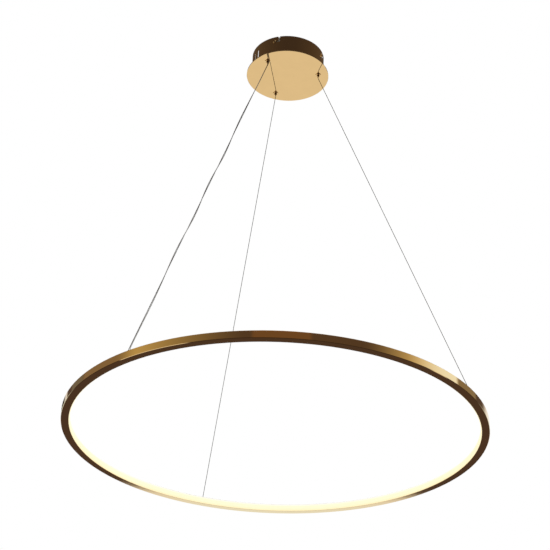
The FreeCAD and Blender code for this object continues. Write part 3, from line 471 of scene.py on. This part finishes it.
def circuit_tape(name):
    """White flexible tape with copper pads between its light points."""
    made, sheet = material(name)
    where = sheet.parts(sheet.around(TAPE_RADIUS))
    along, height = where[0], where[2]
    middle = (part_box("led_strip")[0].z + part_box("led_strip")[1].z) / 2
    across = sheet.math("ABSOLUTE", height - middle)
    pitch = sheet.math("FRACT", along / 0.05)
    pad = sheet.between(pitch, 0.42, 0.58, 0.01) * sheet.between(across, 0.0026, 0.0042, 0.0001)
    print_grain = sheet.noise(sheet.around(TAPE_RADIUS), 800.0, 2.0)
    colour = sheet.mix(sheet.mix((0.80, 0.80, 0.77), (0.88, 0.88, 0.86), print_grain),
                       (0.72, 0.42, 0.22), pad)
    sheet.surface(Base_Color=colour, Metallic=pad, Roughness=0.5 - pad * 0.2,
                  Normal=sheet.bump(pad + print_grain * 0.2, 0.00004))
    return made


def phosphor_gel(name, strength):
    """Continuous yellow phosphor over the light points, brightest above each one."""
    made, sheet = material(name)
    along = sheet.parts(sheet.around(PHOSPHOR_RADIUS))[0]
    spot = sheet.between(sheet.math("FRACT", along / 0.0021), 0.3, 0.7, 0.25)
    colour = sheet.mix((0.95, 0.62, 0.12), (1.0, 0.80, 0.36), spot)
    sheet.surface(Base_Color=sheet.mix((0.86, 0.60, 0.10), (0.92, 0.72, 0.22), spot),
                  Roughness=spot * 0.1 + 0.35, Emission_Color=colour, Emission_Strength=strength)
    return made


# --- meshes that follow a cord ---

def turned_point(place, azimuth):
    return Matrix.Rotation(math.radians(azimuth), 3, "Z") @ Vector(place)


def spline_line(name, route):
    """Points of a smooth spline that has the route's points as its control points."""
    curve = bpy.data.curves.new(name, "CURVE")
    curve.dimensions = "3D"
    curve.resolution_u = 96
    spline = curve.splines.new("NURBS")
    spline.points.add(len(route) - 1)
    for spot, place in zip(spline.points, route):
        spot.co = (*place, 1.0)
    spline.order_u = 3
    spline.use_endpoint_u = True
    holder = bpy.data.objects.new(name, curve)
    bpy.context.scene.collection.objects.link(holder)
    bpy.context.view_layer.update()
    mesh = bpy.data.meshes.new_from_object(holder)
    line = [vertex.co.copy() for vertex in mesh.vertices]
    bpy.data.meshes.remove(mesh)
    bpy.data.objects.remove(holder)
    bpy.data.curves.remove(curve)
    return line


def evenly(line, step):
    """The spline's line again, with its points a step apart."""
    result = [line[0]]
    spare = step
    for start, end in zip(line, line[1:]):
        run = (end - start).length
        while spare < run:
            result.append(start.lerp(end, spare / run))
            spare += step
        spare -= run
    if (line[-1] - result[-1]).length > step * 0.2:
        result.append(line[-1])
    else:
        result[-1] = line[-1]
    return result


def side_frames(line):
    """Two directions square to the line at each of its points, carried along without twist."""
    frames = []
    side = None
    for index in range(len(line)):
        ahead = (line[min(index + 1, len(line) - 1)] - line[max(index - 1, 0)]).normalized()
        if side is None:
            side = ahead.orthogonal()
        side = (side - ahead * side.dot(ahead)).normalized()
        frames.append((side, ahead.cross(side)))
    return frames


def swept(name, line, outline, lay=None):
    """Mesh with an outline of (u, v) points carried along a line, turned once in each lay."""
    vertices = []
    travelled = 0.0
    for index, (spot, (side, up)) in enumerate(zip(line, side_frames(line))):
        if index:
            travelled += (spot - line[index - 1]).length
        turn = 0.0 if lay is None else 2 * math.pi * travelled / lay
        cos, sin = math.cos(turn), math.sin(turn)
        for u, v in outline:
            vertices.append(spot + side * (u * cos - v * sin) + up * (u * sin + v * cos))
    count = len(outline)
    faces = [tuple(reversed(range(count)))]
    for ring in range(len(line) - 1):
        for step in range(count):
            after = (step + 1) % count
            faces.append((ring * count + step, ring * count + after,
                          (ring + 1) * count + after, (ring + 1) * count + step))
    last = (len(line) - 1) * count
    faces.append(tuple(range(last, last + count)))
    mesh = bpy.data.meshes.new(name)
    mesh.from_pydata(vertices, [], faces)
    mesh.update()
    for polygon in mesh.polygons[1:-1]:
        polygon.use_smooth = True
    made = bpy.data.objects.new(name, mesh)
    bpy.context.scene.collection.objects.link(made)
    return made


def round_outline(radius, sides):
    return [(radius * math.cos(2 * math.pi * step / sides),
             radius * math.sin(2 * math.pi * step / sides)) for step in range(sides)]


def strand_outline(radius, strands, points_each):
    """Outline of a rope: round crowns with a hollow between each two strands."""
    outline = []
    for step in range(strands * points_each):
        turn = 2 * math.pi * step / (strands * points_each)
        crown = abs(math.cos(strands * turn / 2))
        reach = radius * (0.80 + 0.20 * crown ** 0.7)
        outline.append((reach * math.cos(turn), reach * math.sin(turn)))
    return outline


def body_of_node(node):
    holder = frame["nodes"][node].parent
    return next(name for name, empty in frame["bodies"].items() if empty == holder)


def stands_for(piece, node, finish):
    """Puts a piece in a CAD node's place, on the node's body."""
    piece.data.materials.append(finish)
    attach(piece, body_of_node(node))
    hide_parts(node)


def finish_nodes(finish, *names):
    """Gives CAD nodes their finish."""
    for name in names:
        node = frame["nodes"][name]
        node.data.materials.clear()
        node.data.materials.append(finish)


def numbered(name):
    return [name + "_" + str(index + 1) for index in range(len(WIRE_AZIMUTHS))]


# --- what a user would change ---

class ChandelierSizes(bpy.types.PropertyGroup):
    rope_diameter: bpy.props.FloatProperty(
        name="Rope Diameter", description="Diameter of the three suspension wires",
        default=0.0015, min=0.0008, max=0.003, unit="LENGTH")
    rope_lay: bpy.props.FloatProperty(
        name="Rope Lay", description="Length in which a strand goes once round its wire",
        default=0.011, min=0.005, max=0.03, unit="LENGTH")
    lead_diameter: bpy.props.FloatProperty(
        name="Lead Diameter", description="Diameter of the power lead beside the first wire",
        default=0.002, min=0.001, max=0.004, unit="LENGTH")
    lead_turns: bpy.props.IntProperty(
        name="Lead Turns", description="How often the power lead winds round its wire",
        default=3, min=0, max=12)
    spring_wire: bpy.props.FloatProperty(
        name="Spring Wire", description="Diameter of the wire of the gripper springs",
        default=0.0005, min=0.0002, max=0.0008, unit="LENGTH")
    floor_depth: bpy.props.FloatProperty(
        name="Floor Depth", description="How far below the ceiling the floor lies",
        default=5.2, min=2.0, max=8.0, unit="LENGTH")
    floor_radius: bpy.props.FloatProperty(
        name="Floor Radius", description="How far the floor reaches on each side",
        default=2.4, min=1.0, max=10.0, unit="LENGTH")


class ChandelierColours(bpy.types.PropertyGroup):
    gold: bpy.props.FloatVectorProperty(
        name="Gold", description="Colour of the gold plating", subtype="COLOR",
        size=3, default=GOLD, min=0.0, max=1.0)
    glow: bpy.props.FloatVectorProperty(
        name="Glow", description="Colour of the lit diffuser", subtype="COLOR",
        size=3, default=(1.0, 0.92, 0.58), min=0.0, max=1.0)
    glow_strength: bpy.props.FloatProperty(
        name="Glow Strength", description="Brightness of the lit diffuser",
        default=0.75, min=0.0, max=5.0)
    floor: bpy.props.FloatVectorProperty(
        name="Floor", description="Colour of the floor", subtype="COLOR",
        size=3, default=(0.90, 0.90, 0.89), min=0.0, max=1.0)
    room_light: bpy.props.FloatProperty(
        name="Room Light", description="Level of the even light all round",
        default=0.9, min=0.0, max=2.0)


# --- operators ---

class CHANDELIER_OT_camera(bpy.types.Operator):
    """Camera below and in front of the ring, looking up at it"""
    bl_idname = "chandelier.camera"
    bl_label = "Camera"

    def execute(self, context):
        yaw, pitch, roll = (math.radians(angle) for angle in CAMERA_ANGLES)
        look = Vector((math.sin(yaw) * math.cos(pitch), math.cos(yaw) * math.cos(pitch),
                       math.sin(pitch)))
        level = look.cross(Vector((0, 0, 1))).normalized()
        down = look.cross(level)
        right = level * math.cos(roll) + down * math.sin(roll)
        below = down * math.cos(roll) - level * math.sin(roll)
        data = bpy.data.cameras.new("camera")
        data.lens = CAMERA_LENS
        data.sensor_width = SENSOR_WIDTH
        data.clip_end = CAMERA_REACH
        camera = bpy.data.objects.new("camera", data)
        turn = Matrix((right, -below, -look)).transposed()
        camera.matrix_world = Matrix.Translation(CAMERA_PLACE) @ turn.to_4x4()
        context.scene.collection.objects.link(camera)
        context.scene.camera = camera
        return {"FINISHED"}


class CHANDELIER_OT_wires(bpy.types.Operator):
    """Three twisted steel wires from the grippers to the ring"""
    bl_idname = "chandelier.wires"
    bl_label = "Suspension Wires"

    def execute(self, context):
        sizes = context.scene.chandelier_sizes
        finish = rope_steel("rope_steel")
        outline = strand_outline(sizes.rope_diameter / 2, ROPE_STRANDS, STRAND_POINTS)
        for azimuth, node in zip(WIRE_AZIMUTHS, numbered("suspension_wire")):
            route = [turned_point(place, azimuth) for place in WIRE_ROUTE]
            line = evenly(spline_line("wire_route", route), sizes.rope_lay / STEPS_TO_LAY)
            piece = swept(node + "_rope", line, outline, sizes.rope_lay)
            stands_for(piece, node, finish)
            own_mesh(piece)
        return {"FINISHED"}


class CHANDELIER_OT_lead(bpy.types.Operator):
    """Slim power lead that winds gently down the first wire"""
    bl_idname = "chandelier.lead"
    bl_label = "Power Lead"

    def execute(self, context):
        sizes = context.scene.chandelier_sizes
        azimuth = WIRE_AZIMUTHS[0]
        route = [turned_point(place, azimuth) for place in LEAD_ROUTE]
        line = evenly(spline_line("lead_route", route), LEAD_STEP)
        upper = turned_point(WIRE_ROUTE[3], azimuth)
        lower = turned_point(WIRE_ROUTE[4], azimuth)
        along = (lower - upper).normalized()
        start = (turned_point(LEAD_ROUTE[4], azimuth) - upper).dot(along)
        end = (turned_point(LEAD_ROUTE[5], azimuth) - upper).dot(along)
        wound = []
        for spot in line:
            reach = (spot - upper).dot(along)
            share = min(max((reach - start) / (end - start), 0.0), 1.0)
            if 0.0 < share < 1.0:
                centre = upper + along * reach
                eased = share * share * (3 - 2 * share)
                turn = Matrix.Rotation(2 * math.pi * sizes.lead_turns * eased, 3, along)
                spot = centre + turn @ (spot - centre)
            wound.append(spot)
        outline = round_outline(sizes.lead_diameter / 2, LEAD_SIDES)
        piece = swept("power_lead_sheath", wound, outline)
        stands_for(piece, "power_lead", clear_lead("lead_pvc"))
        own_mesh(piece)
        return {"FINISHED"}


class CHANDELIER_OT_ring(bpy.types.Operator):
    """Finishes of the ring's channel, joiners, anchors and lead entry"""
    bl_idname = "chandelier.ring"
    bl_label = "Ring"

    def execute(self, context):
        gold = tuple(context.scene.chandelier_colours.gold)
        finish_nodes(plated_gold("ring_gold", gold, RING_RADIUS, seams=RING_SEAMS),
                     "ring_channel_a", "ring_channel_b")
        finish_nodes(mill_aluminium("mill_aluminium"), "ring_joiner_a", "ring_joiner_b",
                     *numbered("cable_stop"))
        finish_nodes(machined_steel("black_oxide", BLACK_OXIDE, 0.35), "joiner_set_screws")
        finish_nodes(clear_bush("clear_bush"), "lead_grommet")
        finish_nodes(moulded_plastic("connector_plastic", (0.80, 0.80, 0.78), 0.0004, 0.35),
                     "strip_connector")
        return {"FINISHED"}


class CHANDELIER_OT_light(bpy.types.Operator):
    """Lit diffuser with the tape and phosphor behind it"""
    bl_idname = "chandelier.light"
    bl_label = "Light Strip"

    def execute(self, context):
        colours = context.scene.chandelier_colours
        finish_nodes(opal_glow("opal_glow", tuple(colours.glow), colours.glow_strength), "diffuser")
        finish_nodes(circuit_tape("circuit_tape"), "led_strip")
        finish_nodes(phosphor_gel("phosphor_gel", colours.glow_strength), "phosphor_line")
        return {"FINISHED"}


class CHANDELIER_OT_grippers(bpy.types.Operator):
    """Finishes of the cable grippers, and round-wire springs in them"""
    bl_idname = "chandelier.grippers"
    bl_label = "Cable Grippers"

    def execute(self, context):
        sizes = context.scene.chandelier_sizes
        gold = tuple(context.scene.chandelier_colours.gold)
        finish_nodes(plated_gold("gripper_gold", gold, gloss=0.05,
                                 threads=(BARREL_THREAD, ANCHOR_THREAD)),
                     *numbered("gripper_body"), *numbered("cable_anchor"))
        finish_nodes(plated_gold("plunger_gold", gold, gloss=0.05), *numbered("gripper_cap"),
                     *numbered("gripper_plunger"))
        steel = machined_steel("bearing_steel", BEARING_STEEL, 0.12)
        finish_nodes(steel, *numbered("gripper_balls"))
        for number, azimuth in enumerate(WIRE_AZIMUTHS, start=1):
            node = "gripper_spring_" + str(number)
            middle = turned_point((GRIPPER_CIRCLE, 0, 0), azimuth)
            line = []
            steps = SPRING_TURNS * SPRING_POINTS
            for step in range(steps + 1):
                turn = 2 * math.pi * step / SPRING_POINTS
                line.append(Vector((middle.x + SPRING_RADIUS * math.cos(turn),
                                    middle.y + SPRING_RADIUS * math.sin(turn),
                                    SPRING_LOW + (SPRING_HIGH - SPRING_LOW) * step / steps)))
            piece = swept(node + "_coil", line, round_outline(sizes.spring_wire / 2, SPRING_SIDES))
            stands_for(piece, node, steel)
            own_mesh(piece)
        return {"FINISHED"}


class CHANDELIER_OT_canopy(bpy.types.Operator):
    """Finishes of the canopy's drum, face plate, studs and locking screws"""
    bl_idname = "chandelier.canopy"
    bl_label = "Canopy"

    def execute(self, context):
        gold = tuple(context.scene.chandelier_colours.gold)
        finish_nodes(plated_gold("drum_gold", gold, DRUM_RADIUS, 0.025), "canopy_wall")
        finish_nodes(plated_gold("plate_gold", gold), "canopy_plate")
        finish_nodes(plated_gold("screw_gold", gold, DRUM_RADIUS, 0.05, (SCREW_THREAD,)),
                     "locking_screws")
        finish_nodes(zinc_plate("zinc_plate"), "ceiling_bracket", "ear_nuts", "earth_screw",
                     "stud_nuts", "driver_saddle", "anchor_nuts", *numbered("gripper_nut"))
        finish_nodes(zinc_plate("stud_zinc", (STUD_THREAD,)), "plate_studs")
        return {"FINISHED"}


class CHANDELIER_OT_wiring(bpy.types.Operator):
    """Finishes of the driver, the terminal block and the leads in the canopy"""
    bl_idname = "chandelier.wiring"
    bl_label = "Driver and Wiring"

    def execute(self, context):
        finish_nodes(moulded_plastic("driver_case", (0.82, 0.82, 0.80), 0.0007, 0.42),
                     "led_driver")
        finish_nodes(moulded_plastic("block_plastic", (0.70, 0.70, 0.66), 0.0005, 0.4),
                     "terminal_block")
        finish_nodes(mains_sheaths("wiring_pvc", LIVE_BROWN, NEUTRAL_BLUE, 0.35),
                     "driver_input_leads")
        finish_nodes(clear_lead("inner_lead_pvc"), "inner_lead")
        return {"FINISHED"}


class CHANDELIER_OT_stage(bpy.types.Operator):
    """Pale floor, and even light with a few soft panels for the metal to reflect"""
    bl_idname = "chandelier.stage"
    bl_label = "Stage"

    def execute(self, context):
        sizes = context.scene.chandelier_sizes
        colours = context.scene.chandelier_colours
        self.floor(sizes.floor_depth, sizes.floor_radius, tuple(colours.floor))
        self.room(context.scene, colours.room_light)
        return {"FINISHED"}

    def floor(self, depth, radius, tint):
        """Disc below the ring that keeps its shadow and fades into the white around it."""
        made, sheet = material("floor")
        x, y = sheet.parts(sheet.place())[:2]
        reach = sheet.math("SQRT", x * x + y * y)
        camera_ray, glossy_ray, clear_ray = sheet.rays()
        seen = sheet.math("MINIMUM", camera_ray + glossy_ray + clear_ray, 1.0)
        matt = sheet.node("BsdfPrincipled", inputs={"Base Color": (*tint, 1.0), "Roughness": 0.9})
        white = sheet.node("Emission", inputs={"Color": (1.0, 1.0, 1.0, 1.0), "Strength": 1.0})
        faded = sheet.step(reach, radius * 0.25, radius * 0.97) * seen
        sheet.node("OutputMaterial",
                   inputs={"Surface": sheet.node("MixShader", inputs={0: faded, 1: matt, 2: white})})
        rim = [(reach_x * radius, reach_y * radius, -depth)
               for reach_x, reach_y in round_outline(1.0, FLOOR_SIDES)]
        mesh = bpy.data.meshes.new("floor")
        mesh.from_pydata(rim, [], [tuple(range(FLOOR_SIDES))])
        mesh.materials.append(made)
        floor = bpy.data.objects.new("floor", mesh)
        bpy.context.scene.collection.objects.link(floor)

    def room(self, scene, level):
        """Even light; what the metal reflects also has soft windows between dark boards."""
        world = bpy.data.worlds.new("room")
        scene.world = world
        world.use_nodes = True
        sheet = Sheet(world.node_tree)
        x, y, z = sheet.parts(sheet.node("TexCoord", output="Generated"))
        bearing = sheet.math("ARCTAN2", x, y * -1) * (180 / math.pi)
        behind = sheet.math("ABSOLUTE", bearing)

        back_wall = sheet.plateau(z, *BACK_WALL_HEIGHTS) * sheet.step(behind, *BACK_WALL_BEARINGS)
        room = sheet.mix((1.0, 1.0, 1.0), (1.08, 1.33, 1.60), back_wall)
        room = sheet.mix(room, (0.09, 0.062, 0.055), sheet.plateau(z, *SKIRTING_HEIGHTS))
        sides = (sheet.plateau(z, *SIDE_HEIGHTS) * (1 - sheet.step(behind, *SIDE_BEARINGS))
                 * (1 - sheet.plateau(bearing, *SIDE_GAP)))
        front = sheet.plateau(z, *FRONT_HEIGHTS) * sheet.plateau(bearing, *FRONT_BEARINGS)
        room = sheet.mix(room, (0.045, 0.031, 0.022), sheet.math("MAXIMUM", sides, front))

        boards = sheet.plateau(bearing, *BOARD_BEARINGS)
        wall = sheet.mix((1.0, 1.0, 1.0), (0.115, 0.08, 0.064), boards)
        for band, colour in BACK_PANELS:
            wall = sheet.mix(wall, colour, sheet.plateau(bearing, *band))
        dusk = sheet.math("MAXIMUM", (bearing + 17.0) / -61.0, 0.0)    # 0 at -17 degrees, 1 at -78
        golden = sheet.math("POWER", dusk, 1.4) * sheet.plateau(bearing, *GOLDEN_BEARINGS)
        wall = sheet.mix(wall, (0.64, 0.525, 0.27), golden)
        for band, colour in FRONT_PANELS:
            wall = sheet.mix(wall, colour, sheet.plateau(bearing, *band))
        room = sheet.mix(room, wall, sheet.plateau(z, *WALL_HEIGHTS))

        frieze = sheet.mix((0.062, 0.046, 0.042), (0.115, 0.086, 0.066),
                           sheet.step(behind, *FRIEZE_BEARINGS))
        room = sheet.mix(room, frieze, sheet.plateau(z, *FRIEZE_HEIGHTS))
        room = sheet.mix(room, (0.72, 0.70, 0.66), sheet.step(z, *CEILING_HEIGHTS))

        camera_ray, glossy_ray, clear_ray = sheet.rays()
        colour = sheet.mix((level, level, level), room, glossy_ray)
        colour = sheet.mix(colour, (1.0, 1.0, 1.0),
                           sheet.math("MINIMUM", camera_ray + clear_ray, 1.0))
        light = sheet.node("Background", inputs={"Color": colour, "Strength": 1.0})
        sheet.node("OutputWorld", inputs={"Surface": light})


OPERATORS = (
    CHANDELIER_OT_camera,
    CHANDELIER_OT_wires,
    CHANDELIER_OT_lead,
    CHANDELIER_OT_ring,
    CHANDELIER_OT_light,
    CHANDELIER_OT_grippers,
    CHANDELIER_OT_canopy,
    CHANDELIER_OT_wiring,
    CHANDELIER_OT_stage,
)


class CHANDELIER_PT_sidebar(bpy.types.Panel):
    """Sizes, colours and the steps that build the chandelier's looks"""
    bl_label = "Chandelier"
    bl_idname = "CHANDELIER_PT_sidebar"
    bl_space_type = "VIEW_3D"
    bl_region_type = "UI"
    bl_category = "Chandelier"

    def draw(self, context):
        for group in (context.scene.chandelier_sizes, context.scene.chandelier_colours):
            box = self.layout.box()
            for name in group.bl_rna.properties.keys():
                if name not in ("rna_type", "name"):
                    box.prop(group, name)
        for operator in OPERATORS:
            self.layout.operator(operator.bl_idname)


CLASSES = (ChandelierSizes, ChandelierColours, *OPERATORS, CHANDELIER_PT_sidebar)


def register():
    for entry in CLASSES:
        bpy.utils.register_class(entry)
    bpy.types.Scene.chandelier_sizes = bpy.props.PointerProperty(type=ChandelierSizes)
    bpy.types.Scene.chandelier_colours = bpy.props.PointerProperty(type=ChandelierColours)


def unregister():
    del bpy.types.Scene.chandelier_colours
    del bpy.types.Scene.chandelier_sizes
    for entry in reversed(CLASSES):
        bpy.utils.unregister_class(entry)


def main():
    register()
    bpy.context.scene.view_settings.view_transform = "Standard"
    bpy.ops.chandelier.camera()
    bpy.ops.chandelier.wires()
    bpy.ops.chandelier.lead()
    bpy.ops.chandelier.ring()
    bpy.ops.chandelier.light()
    bpy.ops.chandelier.grippers()
    bpy.ops.chandelier.canopy()
    bpy.ops.chandelier.wiring()
    bpy.ops.chandelier.stage()


if __name__ == "__main__":
    main()
